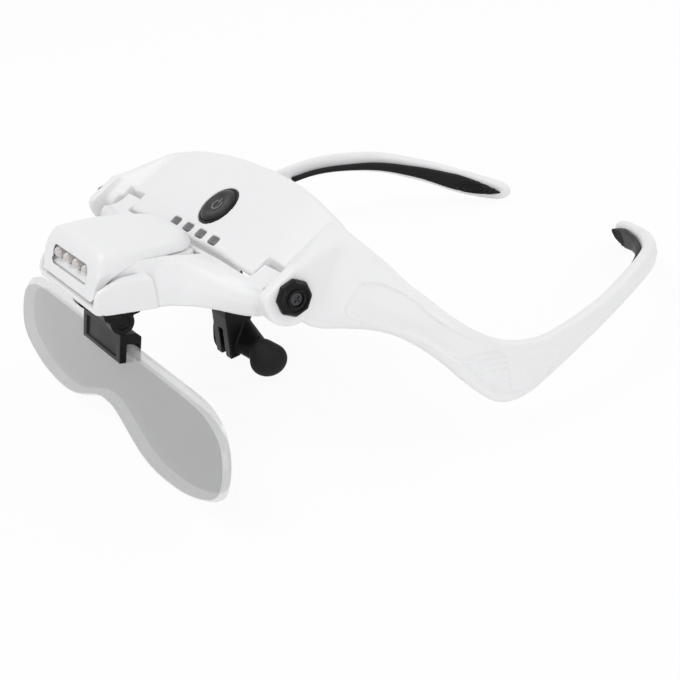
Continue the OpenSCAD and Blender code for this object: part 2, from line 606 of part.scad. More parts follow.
// Lamp: cover over the nose, base in the well, four lamps in their reflector
// Stations of the cover: place, half width, lower edge, top, forward lean of the section
lamp = [
    [-2.6, 6, 3.5, 4.7, 0],
    [-3.8, 9.6, 3.6, 6.6, 0],
    [-7, 12.8, 4.1, 8.4, 0],
    [-13, 15.2, 6.1, 9.9, 0],
    [-19, 16.8, 7.5, 11, 0],
    [-25, 17.8, 8.9, 11.8, 0.1],
    [-29, 18.4, 7.6, 12.3, 0.2],
    [-31.6, 18.6, 4.6, 12.1, 0.34],
    [-33.6, 18.5, 1.8, 11.2, 0.5],
    [-34.8, 18, 0.8, 9.8, 0.5]];
lamp_wall = 1.4;
lamp_z = 7.2;
// Ring of a lamp section, shrunk by a wall, open height kept below
function lamp_ring(k, shrink) = let(st = lamp[k], w = st[1] - shrink, b = st[2] - (shrink > 0 ? 3 : 0),
    t = st[3] - shrink, m = (st[2] + st[3]) / 2, h = t - b, r = min(4.5, (st[3] - st[2]) * 0.8 - shrink))
    [for (q = concat([[-w, b], [-w, b + (h - r) / 2]],
        [for (g = [180:-22.5:90]) [-w + r + r * cos(g), t - r + r * sin(g)]], [[0, t + 0.4]],
        [for (g = [90:-22.5:0]) [w - r + r * cos(g), t - r + r * sin(g)]],
        [[w, b + (h - r) / 2], [w, b]])) [q[0], st[0] + (q[1] - m) * st[4], q[1]]];
module lamp_cover() color(white) placed() difference() {
    union() {
        difference() {
            loft([for (k = [len(lamp) - 1:-1:0]) lamp_ring(k, 0)]);
            loft([for (k = [len(lamp) - 2:-1:2]) lamp_ring(k, lamp_wall)]);
            translate([0, -30.8, lamp_z]) rotate([90, 0, 0]) linear_extrude(12) hull()
                for (x = [-lamp_win_x, lamp_win_x]) translate([x, 0]) circle(r = lamp_win_r);
        }
        translate([0, lamp_post_y, pocket_z]) cylinder(r = post_r, h = 10.2 - pocket_z);
    }
    translate([0, lamp_post_y, 0]) cylinder(r = screw_r + fit_gap, h = 5.6);
}
lamp_post_y = -20;
pocket_z = 1.6;
lamp_win_x = 1.5 * led_pitch + 0.6;
lamp_win_r = led_d / 2 + 0.7;
lamp_base_x = well_x - lamp_gap;
lamp_base = [[-4.4, 11.6, -2.6, 2.6], [-6.4, 14.6, -2.9, 3.2], [-12, 14.8, -2.6, 4.6],
    [-24, 14.8, -1.2, 6.6], [-31, 14.8, -0.2, 6.2], [-34.2, 14.8, 0.6, 4.4]];
module lamp_base() color(white) placed() difference() {
    loft([for (k = [len(lamp_base) - 1:-1:0]) let(b = lamp_base[k], x = min(b[1], lamp_base_x))
        [[-x, b[0], b[2] + 0.8], [-x, b[0], b[3]], [x, b[0], b[3]], [x, b[0], b[2] + 0.8],
        [x - 1, b[0], b[2]], [-x + 1, b[0], b[2]]]]);
    block([-12.6, -32.6, pocket_z], [12.6, -9, 12]);
    translate([0, -lamp_axis_y, lamp_axis_z]) mirrored() rod(9, lamp_base_x + 1, lamp_pin_r + fit_gap);
    translate([0, lamp_post_y, -6]) cylinder(r = screw_r + 0.15, h = 12);
    translate([0, lamp_post_y, -6]) cylinder(r = 1.7, h = 5.4);
}
module lamp_screw() color(steel) placed() translate([0, lamp_post_y, -1.35]) screw(1.5, 0.7, 6.6);
module lamp_pins() color(steel) placed() translate([0, -lamp_axis_y, lamp_axis_z])
    mirrored() rod(9.6, well_x + 2.3, lamp_pin_r);
module lamp_places() {
    for (k = [-1.5:1.5]) translate([k * led_pitch, 0, lamp_z]) rotate([90, 0, 0]) children();
}
reflector_y = -31;
module lamp_reflector() color("#d4d4d8") placed() difference() {
    block([-12.2, reflector_y, pocket_z + fit_gap], [12.2, reflector_y + 1.4, 9.8]);
    translate([0, reflector_y - 1, 0]) lamp_places()
        translate([0, 0, -6]) cylinder(r = led_d / 2 + 0.1, h = 8);
}
module lamp_leds() color("#e8e8ee") placed() translate([0, reflector_y + 1.45, 0]) lamp_places() {
    translate([0, 0, -1]) cylinder(r = led_d / 2 + 0.3, h = 1);
    cylinder(r = led_d / 2, h = 2.6);
    translate([0, 0, 2.6]) sphere(r = led_d / 2);
}
module lamp_board() color("#1f6b3c") placed()
    block([-12.2, reflector_y + 2.5, pocket_z + fit_gap], [12.2, reflector_y + 3.5, 9.4]);

headband_frame();
brow_rear_cover();
cover_screws();
arm_pad_left();
arm_pad_right();
main_circuit_board();
tact_switch();
battery_cell();
charge_socket();
indicator_windows();
indicator_leds();
button_rim();
power_button();
pivot_pins();
pivot_cap_left();
pivot_cap_right();
cap_screws();
friction_washers();
nose_bracket();
nose_screws();
nose_pad_left();
nose_pad_right();
visor_shell();
visor_base();
visor_screws();
lens_mount();
lens_mount_screws();
lamp_cover();
lamp_base();
lamp_reflector();
lamp_leds();
lamp_board();
lamp_screw();
lamp_pins();
lens_clip();
clip_hinge_pin();
lens();
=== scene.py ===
"""Looks of the headband magnifier. Shapes are worked out in millimetres from the pivot axis
of the visor, as in the part's source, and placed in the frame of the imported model."""

import json
import math

import bmesh
import bpy
import numpy as np
from mathutils import Matrix, Vector
from mathutils.kdtree import KDTree


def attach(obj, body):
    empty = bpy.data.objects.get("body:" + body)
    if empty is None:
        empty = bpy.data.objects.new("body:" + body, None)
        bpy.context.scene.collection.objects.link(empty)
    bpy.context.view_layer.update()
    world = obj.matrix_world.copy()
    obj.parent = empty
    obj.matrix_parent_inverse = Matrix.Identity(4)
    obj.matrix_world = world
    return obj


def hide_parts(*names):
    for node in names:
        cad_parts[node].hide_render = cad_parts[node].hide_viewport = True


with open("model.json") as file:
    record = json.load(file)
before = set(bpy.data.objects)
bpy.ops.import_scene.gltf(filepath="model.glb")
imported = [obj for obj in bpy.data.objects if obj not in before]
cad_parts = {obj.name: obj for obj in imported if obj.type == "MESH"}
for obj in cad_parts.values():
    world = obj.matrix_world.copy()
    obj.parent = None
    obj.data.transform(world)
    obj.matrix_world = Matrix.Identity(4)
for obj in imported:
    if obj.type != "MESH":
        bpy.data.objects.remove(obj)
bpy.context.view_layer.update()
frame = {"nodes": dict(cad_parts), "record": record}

# Values repeated from the part's source, in millimetres and degrees
FOOT_Y, PIVOT_H = 47.8, 42.5947
SLOPE = math.radians(24)
BROW_Z, BROW_T, ARM_T, TIP_T = 1.7, 2.4, 3.6, 4.2
CAP_X, CAP_R, CAP_T, BOSS_R, BOSS_X = 56.5, 4.8, 2.2, 7.6, 50.6
BOSS_TOP, BOSS_CORNER, SHOULDER = 3.6, 2.3, (51.0, 19.2, 7.0)
NOTCH_IN, NOTCH_OUT, NOTCH_Y = 36.4, 46.2, 4.6
BUTTON_V, BUTTON_R = 11.6, 5.7
WINDOW_V, WINDOW_PITCH = 2.1, 7.5
HINGE_Y, HINGE_Z, LEAN = 28.8, 8.3, math.radians(18)
LENS_P, LENS_T, LENS_TOP, LENS_X, LENS_H = 1.8, 3.0, -6.5, 67.5, 28.0
LED_PITCH, LED_R, LAMP_Z, REFLECTOR_Y = 6.2, 1.5, 7.2, -31.0
# The band from the middle of the brow to the tip of the arm: a point of its lower edge and one of its
# upper edge for each station. Points with two numbers lie on the slope of the brow.
STATIONS = [
    [[0, -0.6], [0, 26]], [[16, -0.3], [16, 25.5]], [[32, -1.1], [31, 23.6]],
    [[43.5, -1.3, 0.6], [43.5, 21.8, 10]], [[50.5, -0.4, -4], [51.5, 20.9, 8.6]],
    [[54, 3.6, -10.4], [57, 21.6, 5.8]], [[58, 10, -12.4], [62, 23.2, 1.6]],
    [[62.8, 14.8, -13.4], [66.3, 24.6, -2.6]], [[68, 19, -16], [70.8, 25.8, -5.6]],
    [[73.4, 24, -22], [75.4, 27.6, -9.8]], [[78, 29, -29.2], [79, 31.6, -14.4]],
    [[81.5, 35, -35.8], [81.5, 38, -19.4]], [[83.5, 42, -36.8], [83.4, 44.6, -22]],
    [[84.2, 52, -34], [84.2, 53.4, -23.2]], [[83, 69.5, -29.4], [83, 70.5, -22.2]],
    [[78.4, 86, -27.8], [78.4, 87, -21.2]], [[68.8, 103, -30.4], [68.8, 104, -23.2]],
    [[56, 115, -35.4], [56, 116, -27.4]], [[44, 123.2, -40.3], [44, 124.2, -31.6]],
    [[33.8, 129.4, -42.47], [33.8, 130.4, -35.2]], [[27, 132.8, -42.2], [27, 133.4, -37]]]
LAST = len(STATIONS) - 1
MIRROR = Matrix.Scale(-1, 4, Vector((1, 0, 0)))
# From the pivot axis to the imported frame, and from the brow's own plane to the pivot axis
PLACE = Matrix.Translation((0, -FOOT_Y / 1000, PIVOT_H / 1000)) @ Matrix.Scale(0.001, 4)
BROW = Matrix.Translation((0, 0, BROW_Z)) @ Matrix.Rotation(SLOPE, 4, "X")


# Curves and outlines
def catmull(a, b, c, d, t):
    return 0.5 * (2 * b + (c - a) * t + (2 * a - 5 * b + 4 * c - d) * t * t + (3 * b - a - 3 * c + d) * t ** 3)


def smooth(t):
    t = min(1.0, max(0.0, t))
    return t * t * (3 - 2 * t)


def unit(v):
    return v / np.linalg.norm(v)


def circle(r, steps):
    angles = [2 * math.pi * k / steps for k in range(steps)]
    return [(r * math.cos(g), r * math.sin(g)) for g in angles]


def rounded_rect(x0, y0, x1, y1, r, steps=6):
    pts = []
    corners = ((x1 - r, y1 - r, 0), (x0 + r, y1 - r, 90), (x0 + r, y0 + r, 180), (x1 - r, y0 + r, 270))
    for cx, cy, start in corners:
        for k in range(steps + 1):
            g = math.radians(start + 90 * k / steps)
            pts.append((cx + r * math.cos(g), cy + r * math.sin(g)))
    return pts


# Mesh helpers
def solid(name, verts, faces):
    mesh = bpy.data.meshes.new(name)
    mesh.from_pydata([tuple(float(c) for c in v) for v in verts], [], faces)
    mesh.validate()
    bm = bmesh.new()
    bm.from_mesh(mesh)
    bmesh.ops.recalc_face_normals(bm, faces=bm.faces)
    bm.to_mesh(mesh)
    bm.free()
    obj = bpy.data.objects.new(name, mesh)
    bpy.context.scene.collection.objects.link(obj)
    return obj


def strips(m, n, count):
    """Faces from each of the first count rings to the next, for m rings of n points."""
    return [(i * n + j, i * n + (j + 1) % n, (i + 1) % m * n + (j + 1) % n, (i + 1) % m * n + j)
            for i in range(count) for j in range(n)]


def loft(name, rings):
    """Closed solid through rings with equal numbers of points."""
    n, m = len(rings[0]), len(rings)
    verts = [p for ring in rings for p in ring]
    faces = strips(m, n, m - 1)
    for ring, base in ((rings[0], 0), (rings[-1], (m - 1) * n)):
        verts.append(np.mean(np.array(ring, float), axis=0))
        faces += [(base + j, base + (j + 1) % n, len(verts) - 1) for j in range(n)]
    return solid(name, verts, faces)


def prism(name, outline, x0, x1):
    """Outline in the plane of Y and Z, extruded along X."""
    return extruded(name, [[(x, p[0], p[1]) for p in outline] for x in (x0, x1)])


def extruded(name, ends):
    n = len(ends[0])
    faces = [tuple(range(n)), tuple(range(n, 2 * n))]
    faces += [(j, (j + 1) % n, n + (j + 1) % n, n + j) for j in range(n)]
    return solid(name, ends[0] + ends[1], faces)


def slab(name, outline, z0, z1):
    """Outline in the plane of X and Y, extruded along Z."""
    return extruded(name, [[(p[0], p[1], z) for p in outline] for z in (z0, z1)])


def block(name, a, b):
    return prism(name, [(a[1], a[2]), (b[1], a[2]), (b[1], b[2]), (a[1], b[2])], a[0], b[0])


def spun(name, profile, steps=64):
    """Solid of revolution about Z from points (radius, height) that start and end on the axis."""
    verts = [(x, y, z) for r, z in profile[1:-1] for x, y in circle(r, steps)]
    verts += [(0, 0, profile[0][1]), (0, 0, profile[-1][1])]
    n, m = steps, len(profile) - 2
    faces = strips(m, n, m - 1)
    faces += [(j, (j + 1) % n, m * n) for j in range(n)]
    faces += [((m - 1) * n + j, (m - 1) * n + (j + 1) % n, m * n + 1) for j in range(n)]
    return solid(name, verts, faces)


def annulus(name, profile, steps=96):
    """Ring about Z from a closed profile of points (radius, height)."""
    verts = [(x, y, z) for r, z in profile for x, y in circle(r, steps)]
    return solid(name, verts, strips(len(profile), steps, len(profile)))


def hull(name, points):
    bm = bmesh.new()
    for p in points:
        bm.verts.new(p)
    extra = bmesh.ops.convex_hull(bm, input=bm.verts)
    inner = {v for v in extra["geom_interior"] if isinstance(v, bmesh.types.BMVert)}
    bmesh.ops.delete(bm, geom=list(inner), context="VERTS")
    mesh = bpy.data.meshes.new(name)
    bm.to_mesh(mesh)
    bm.free()
    obj = bpy.data.objects.new(name, mesh)
    bpy.context.scene.collection.objects.link(obj)
    return obj


def rod(name, x0, x1, r, steps=48):
    """Cylinder along X."""
    return prism(name, circle(r, steps), x0, x1)


def drop(*objs):
    for o in objs:
        mesh = o.data
        bpy.data.objects.remove(o)
        if mesh.users == 0:
            bpy.data.meshes.remove(mesh)


def moved(obj, matrix):
    obj.data.transform(matrix)
    if matrix.determinant() < 0:
        obj.data.flip_normals()
    return obj


def mirrored(obj):
    """Copy of an object on the other side."""
    other = bpy.data.objects.new(obj.name + "_copy", obj.data.copy())
    bpy.context.scene.collection.objects.link(other)
    return moved(other, MIRROR)


def both(objs):
    return objs + [mirrored(o) for o in objs]


def settle(obj):
    """Puts the result of the modifiers into the mesh."""
    bpy.context.view_layer.update()
    result = bpy.data.meshes.new_from_object(obj.evaluated_get(bpy.context.evaluated_depsgraph_get()))
    old = obj.data
    obj.modifiers.clear()
    obj.data = result
    bpy.data.meshes.remove(old)
    return obj


def cut_out(obj, others):
    """Takes the other objects out of one and deletes them."""
    for other in others:
        mod = obj.modifiers.new("b", "BOOLEAN")
        mod.operation, mod.solver, mod.object = "DIFFERENCE", "EXACT", other
    settle(obj)
    drop(*others)
    return obj


def joined(name, objs):
    bm = bmesh.new()
    for o in objs:
        bm.from_mesh(o.data)
    mesh = bpy.data.meshes.new(name)
    bm.to_mesh(mesh)
    bm.free()
    drop(*objs)
    obj = bpy.data.objects.new(name, mesh)
    bpy.context.scene.collection.objects.link(obj)
    return obj


def fused(obj, voxel, rounds):
    """Remeshes overlapping solids into one skin and rounds its edges."""
    mod = obj.modifiers.new("r", "REMESH")
    mod.mode, mod.voxel_size = "VOXEL", voxel
    settle(obj)
    mod = obj.modifiers.new("s", "SMOOTH")
    mod.factor, mod.iterations = 0.5, rounds
    return settle(obj)


def softened(obj, weight, rounds):
    """Smooths only the part of a mesh where weight(point) is over 0."""
    group = obj.vertex_groups.new(name="soft")
    for v in obj.data.vertices:
        w = weight(v.co)
        if w > 0:
            group.add([v.index], w, "REPLACE")
    mod = obj.modifiers.new("s", "SMOOTH")
    mod.factor, mod.iterations, mod.vertex_group = 0.5, rounds, "soft"
    settle(obj)
    obj.vertex_groups.clear()
    return obj


def bevelled(obj, width, segments=3, angle=30):
    """Rounds the edges that are sharper than an angle in degrees."""
    mod = obj.modifiers.new("v", "BEVEL")
    mod.width, mod.segments, mod.limit_method = width, segments, "ANGLE"
    mod.angle_limit = math.radians(angle)
    mod.use_clamp_overlap = True
    return settle(obj)


def from_node(node):
    """Copy of a CAD node's mesh in millimetres from the pivot axis."""
    obj = bpy.data.objects.new(node + "_raw", frame["nodes"][node].data.copy())
    bpy.context.scene.collection.objects.link(obj)
    obj.data.materials.clear()
    obj.data.transform(PLACE.inverted())
    bm = bmesh.new()
    bm.from_mesh(obj.data)
    bmesh.ops.remove_doubles(bm, verts=bm.verts, dist=0.002)
    bm.to_mesh(obj.data)
    bm.free()
    return obj


def piece(obj, name, body, replaces, material, sharp=None):
    """Gives a finished mesh its place, body, material slot and material."""
    obj.name = obj.data.name = name
    obj.data.transform(PLACE)
    for polygon in obj.data.polygons:
        polygon.use_smooth = True
    if sharp:
        obj.data.set_sharp_from_angle(angle=math.radians(sharp))
    obj.data.materials.clear()
    obj.data.materials.append(material)
    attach(obj, body)
    if replaces:
        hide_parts(*replaces)
    return obj


# Materials
def node_material(name, color, rough, bump, grain, spread, tint, metallic=0.0, coat=0.0, coat_rough=0.1,
                  alpha=1.0, specular=0.5, wear=0.0, sss=0.0, stretch=(1, 1, 1)):
    """Moulded or metal surface with fine grain, drifting roughness and a faint colour drift."""
    mat = bpy.data.materials.new(name)
    mat.use_nodes = True
    nodes, links = mat.node_tree.nodes, mat.node_tree.links
    shader = nodes["Principled BSDF"]
    shader.inputs["Metallic"].default_value = metallic
    shader.inputs["Specular IOR Level"].default_value = specular
    shader.inputs["Coat Weight"].default_value = coat
    shader.inputs["Coat Roughness"].default_value = coat_rough
    shader.inputs["Alpha"].default_value = alpha
    if sss:
        shader.inputs["Subsurface Weight"].default_value = sss
        shader.inputs["Subsurface Scale"].default_value = 0.002
    coords = nodes.new("ShaderNodeTexCoord")
    mapping = nodes.new("ShaderNodeMapping")
    mapping.inputs["Scale"].default_value = stretch
    links.new(coords.outputs["Object"], mapping.inputs["Vector"])

    def noise(scale, detail):
        tex = nodes.new("ShaderNodeTexNoise")
        tex.inputs["Scale"].default_value = scale
        tex.inputs["Detail"].default_value = detail
        links.new(mapping.outputs["Vector"], tex.inputs["Vector"])
        return tex.outputs["Fac"]

    def ranged(value, low, high):
        node = nodes.new("ShaderNodeMapRange")
        node.inputs["From Min"].default_value, node.inputs["From Max"].default_value = 0.3, 0.7
        node.inputs["To Min"].default_value, node.inputs["To Max"].default_value = low, high
        links.new(value, node.inputs["Value"])
        return node.outputs["Result"]

    mix = nodes.new("ShaderNodeMix")
    mix.data_type = "RGBA"
    mix.inputs["A"].default_value = tuple(c * (1 - tint) for c in color) + (1,)
    mix.inputs["B"].default_value = tuple(min(1, c * (1 + tint)) for c in color) + (1,)
    links.new(noise(45, 3), mix.inputs["Factor"])
    result = mix.outputs["Result"]
    if wear:
        geometry = nodes.new("ShaderNodeNewGeometry")
        edge = nodes.new("ShaderNodeMapRange")
        edge.inputs["From Min"].default_value, edge.inputs["From Max"].default_value = 0.52, 0.62
        links.new(geometry.outputs["Pointiness"], edge.inputs["Value"])
        worn = nodes.new("ShaderNodeMix")
        worn.data_type = "RGBA"
        worn.inputs["B"].default_value = tuple(min(1, c + wear) for c in color) + (1,)
        links.new(result, worn.inputs["A"])
        links.new(edge.outputs["Result"], worn.inputs["Factor"])
        result = worn.outputs["Result"]
    links.new(result, shader.inputs["Base Color"])
    links.new(ranged(noise(120, 4), max(0.02, rough - spread), rough + spread), shader.inputs["Roughness"])
    if bump:
        node = nodes.new("ShaderNodeBump")
        node.inputs["Strength"].default_value = bump
        node.inputs["Distance"].default_value = 0.00005
        links.new(noise(grain, 2), node.inputs["Height"])
        links.new(node.outputs["Normal"], shader.inputs["Normal"])
    return mat


# Colour, roughness, bump, grain, spread of the roughness, drift of the colour, and what is set by name
LOOKS = {
    "white_plastic": [(0.87, 0.87, 0.875), 0.45, 0.06, 1400, 0.05, 0.006,
                      {"coat": 0.08, "coat_rough": 0.25, "sss": 0.05}],
    "black_plastic": [(0.006, 0.006, 0.007), 0.34, 0.16, 1800, 0.06, 0.2, {"specular": 0.16, "wear": 0.006}],
    "black_soft": [(0.009, 0.009, 0.01), 0.55, 0.3, 2600, 0.06, 0.15, {"specular": 0.2, "wear": 0.008}],
    "button_black": [(0.018, 0.018, 0.02), 0.36, 0.2, 2400, 0.06, 0.1, {"specular": 0.2, "wear": 0.015}],
    "steel": [(0.55, 0.55, 0.57), 0.3, 0.12, 1200, 0.08, 0.08, {"metallic": 1, "stretch": (1, 4, 1)}],
    "board_green": [(0.02, 0.13, 0.05), 0.35, 0.1, 700, 0.06, 0.25, {"coat": 0.4}],
    "switch_dark": [(0.03, 0.03, 0.032), 0.45, 0.2, 1500, 0.05, 0.03, {}],
    "cell_foil": [(0.6, 0.61, 0.64), 0.35, 0.3, 300, 0.1, 0.06, {"metallic": 0.8}],
    "window_grey": [(0.085, 0.085, 0.09), 0.22, 0.04, 900, 0.05, 0.2, {"coat": 0.3}],
    "led_yellow": [(0.75, 0.62, 0.2), 0.5, 0.1, 1200, 0.05, 0.03, {}],
    "washer_white": [(0.7, 0.7, 0.71), 0.4, 0.1, 1200, 0.05, 0.03, {}],
    "reflector_silver": [(0.62, 0.6, 0.6), 0.3, 0.1, 900, 0.08, 0.05, {"metallic": 0.5}],
    "led_clear": [(0.97, 0.95, 0.93), 0.06, 0.0, 900, 0.02, 0.02, {"coat": 1.0, "alpha": 0.55}],
    "lens_clear": [(0.3, 0.305, 0.31), 0.06, 0.0, 900, 0.03, 0.03,
                   {"coat": 0.5, "coat_rough": 0.04, "alpha": 0.62}],
    # The last four are for pieces whose slot has another finish
    # Lens rim: lighter than the lens, a painted highlight, streaked by noise as painted refraction
    "painted_lens_highlight": [(0.72, 0.725, 0.735), 0.05, 0.5, 350, 0.03, 0.3,
                  {"coat": 1.0, "coat_rough": 0.03, "alpha": 0.42, "stretch": (1, 3, 3)}],
    "led_cup": [(0.26, 0.15, 0.11), 0.35, 0.1, 1500, 0.1, 0.3, {"metallic": 0.4}],
    "dark_steel": [(0.06, 0.06, 0.065), 0.32, 0.12, 1200, 0.08, 0.1, {"metallic": 0.9}],
    "button_mark": [(0.16, 0.16, 0.165), 0.5, 0.1, 2000, 0.05, 0.03, {}],
}
MAT = {name: node_material(name, *look[:-1], **look[-1]) for name, look in LOOKS.items()}
for entry in frame["record"]["subparts"]:
    node = frame["nodes"].get(entry["node"])
    if node:
        node.data.materials.clear()
        node.data.materials.append(MAT[entry["material_slot"]])


# The band's shape
def lift(p):
    return p if len(p) == 3 else [p[0], p[1], BROW_Z + p[1] * math.tan(SLOPE)]


EDGES = np.array([[lift(a), lift(b)] for a, b in STATIONS], float)


def edge_at(k, side):
    """Edge point of station k, with those of the other half of the band at a negative k."""
    return EDGES[-k, side] * (-1, 1, 1) if k < 0 else EDGES[min(k, LAST), side]


def along(s, side):
    k = min(math.floor(s), LAST - 1)
    return catmull(*(edge_at(k + i, side) for i in (-1, 0, 1, 2)), s - k)


def band_frame(s):
    """Lower edge, height, direction up the band and outward normal."""
    def mid(q):
        return (along(q, 0) + along(q, 1)) / 2

    a, b = along(s, 0), along(s, 1)
    up = unit(b - a)
    out = unit(np.cross(unit(mid(min(s + 0.05, LAST)) - mid(max(s - 0.05, -0.05))), up))
    return a, np.linalg.norm(b - a), up, out


def band_t(s):
    """Thickness of the band."""
    if s < 3:
        return BROW_T
    if s < 6:
        return BROW_T + (ARM_T - BROW_T) * (s - 3) / 3
    return ARM_T if s < 14 else ARM_T + (TIP_T - ARM_T) * (s - 14) / (LAST - 14)


def section(s, w0, w1, inset, crown, across=14, round_steps=7, shrink=1.0, cut=0.0):
    """Ring round the band between the depths w0 and w1, with full round edges."""
    a, h, up, out = band_frame(s)
    h -= inset + cut
    r = min((w0 - w1) / 2, (h - inset) / 2)
    mid_w, mid_u = (w0 + w1) / 2, (h + inset) / 2
    pts = []
    for k in range(across + 1):
        t = -1 + 2 * k / across
        pts.append((mid_u + t * (h - inset - 2 * r) / 2, w0 + crown * (1 - t * t)))
    for k in range(1, round_steps):
        g = math.pi / 2 - math.pi * k / round_steps
        pts.append((h - r + r * math.cos(g), mid_w + r * math.sin(g)))
    for k in range(across + 1):
        t = 1 - 2 * k / across
        pts.append((mid_u + t * (h - inset - 2 * r) / 2, w1))
    for k in range(1, round_steps):
        g = -math.pi / 2 - math.pi * k / round_steps
        pts.append((inset + r + r * math.cos(g), mid_w + r * math.sin(g)))
    return [a + up * (mid_u + (u - mid_u) * shrink) + out * (mid_w + (w - mid_w) * shrink) for u, w in pts]


def tip_shrink(s, end, span):
    """Scale of a section, which rounds the last stretch before the end."""
    return 1.0 if s < end - span else math.sqrt(max(0.0, 1 - ((s - end + span) / span) ** 2) * 0.96 + 0.04)


def flipped(ring):
    return [p * (-1, 1, 1) for p in ring]


def face_tree(along_band, up_band, depth):
    """Places on the band at a depth below its outer face, and a tree that finds the nearest of them."""
    places = [(s, u, band_frame(s)) for s in along_band for u in up_band]
    tree = KDTree(len(places))
    for k, (s, u, (a, h, up, out)) in enumerate(places):
        tree.insert(Vector(a + up * h * u - out * depth), k)
    tree.balance()
    return places, tree


# Panel on the outer face of each arm: place along the band, margin below and margin above
PANEL = np.array([
    [5.45, 9, 9], [5.6, 5.4, 7.5], [5.8, 3.6, 6.4], [6.1, 2.7, 4.8], [6.35, 2.2, 4], [7.1, 1.8, 2.3],
    [7.7, 2, 2.1], [8.25, 2.7, 2.2], [8.75, 3.4, 2.1], [9.3, 4, 2], [9.9, 4.6, 1.8], [10.4, 4, 1.7],
    [10.85, 2.9, 1.7], [11.2, 2.6, 1.8], [11.55, 2.6, 2], [12.2, 2, 2.2], [12.8, 2.2, 2.7],
    [13.0, 3.2, 3.6], [13.1, 5, 5]])
PANEL_FROM, PANEL_TO = PANEL[0, 0], PANEL[-1, 0]
PANEL_DEPTH, PANEL_WALL, PANEL_SWELL, OUTER_REACH = 0.42, 0.9, 0.55, 0.8
# Grip ridges: their field from RIDGES_LOW to RIDGES_TOP and back to RIDGES_REAR, leaning along the arm
RIDGE_HEIGHT, RIDGE_PITCH, RIDGE_CREST, RIDGE_LEAN = 0.45, 1.56, -22.1, 0.15
RIDGES_LOW, RIDGES_TOP, RIDGES_REAR = -33.6, -21.0, 39.4


def carve_arms(obj):
    """Presses the panel and the grip ridges into the outer faces of the arms."""
    places, tree = face_tree(np.arange(5, 13.6, 0.02), np.arange(0, 1.001, 0.02), 0)
    count = len(obj.data.vertices)
    co = np.empty(count * 3)
    obj.data.vertices.foreach_get("co", co)
    co = co.reshape(-1, 3)
    for k in range(count):
        x, y, z = co[k]
        if not (8 <= y <= 62 and z >= -40):  # Far from the panel
            continue
        _, index, dist = tree.find(Vector((abs(x), y, z)))
        if dist > OUTER_REACH:
            continue
        s, u, (_, h, _, out) = places[index]
        low, high = np.interp(s, PANEL[:, 0], PANEL[:, 1]), np.interp(s, PANEL[:, 0], PANEL[:, 2])
        ends = min(s - PANEL_FROM, PANEL_TO - s) * 5
        inside = min(u * h - low, h - high - u * h, ends)
        depth = PANEL_DEPTH * smooth(inside / PANEL_WALL) * (1 - PANEL_SWELL * smooth((inside - 1.6) / 4))
        bar = z + RIDGE_LEAN * (y - 35)
        reach = min(u * h - low - 0.5, RIDGES_REAR - y, bar - RIDGES_LOW, RIDGES_TOP - bar,
                    (h - high - u * h) - 0.6)
        wave = math.cos(2 * math.pi * (bar - RIDGE_CREST) / RIDGE_PITCH)
        depth -= RIDGE_HEIGHT * smooth(reach / 0.7) * (0.5 + 0.5 * wave)
        co[k] -= out * np.array([math.copysign(1, x), 1, 1]) * depth
    obj.data.vertices.foreach_set("co", co.ravel())
    obj.data.update()


def brow_at(y):
    return BROW_Z + y * math.tan(SLOPE)


def boss_points():
    """Points of the boss: a disc with a flat top, rounded at its corners and along its outer edge."""
    r, top = BOSS_R - BOSS_CORNER, BOSS_TOP - BOSS_CORNER + BROW_Z * math.cos(SLOPE)
    a = math.acos(top / r)
    core = [SLOPE + math.pi / 2 + a + j * (2 * math.pi - 2 * a) / 20 for j in range(21)]
    face, edge = CAP_X - CAP_T, 0.8
    levels = [(BOSS_X, 0.0)] + [(face - edge + edge * math.sin(q), edge * (1 - math.cos(q)))
                                for q in np.linspace(0, math.pi / 2, 5)]
    turn = np.linspace(0, 2 * math.pi, 25)[:-1]
    return [(x, r * math.cos(g) + (BOSS_CORNER - less) * math.cos(q),
             r * math.sin(g) + (BOSS_CORNER - less) * math.sin(q))
            for x, less in levels for g in core for q in turn]


BAND_VOXEL = 0.34


def at_shoulder(p):
    """Share of smoothing: only where the boss runs out into the arm."""
    return smooth((abs(p.x) - 45.5) / 3) * smooth((p.y - 2) / 4) * smooth((30 - p.y) / 6)


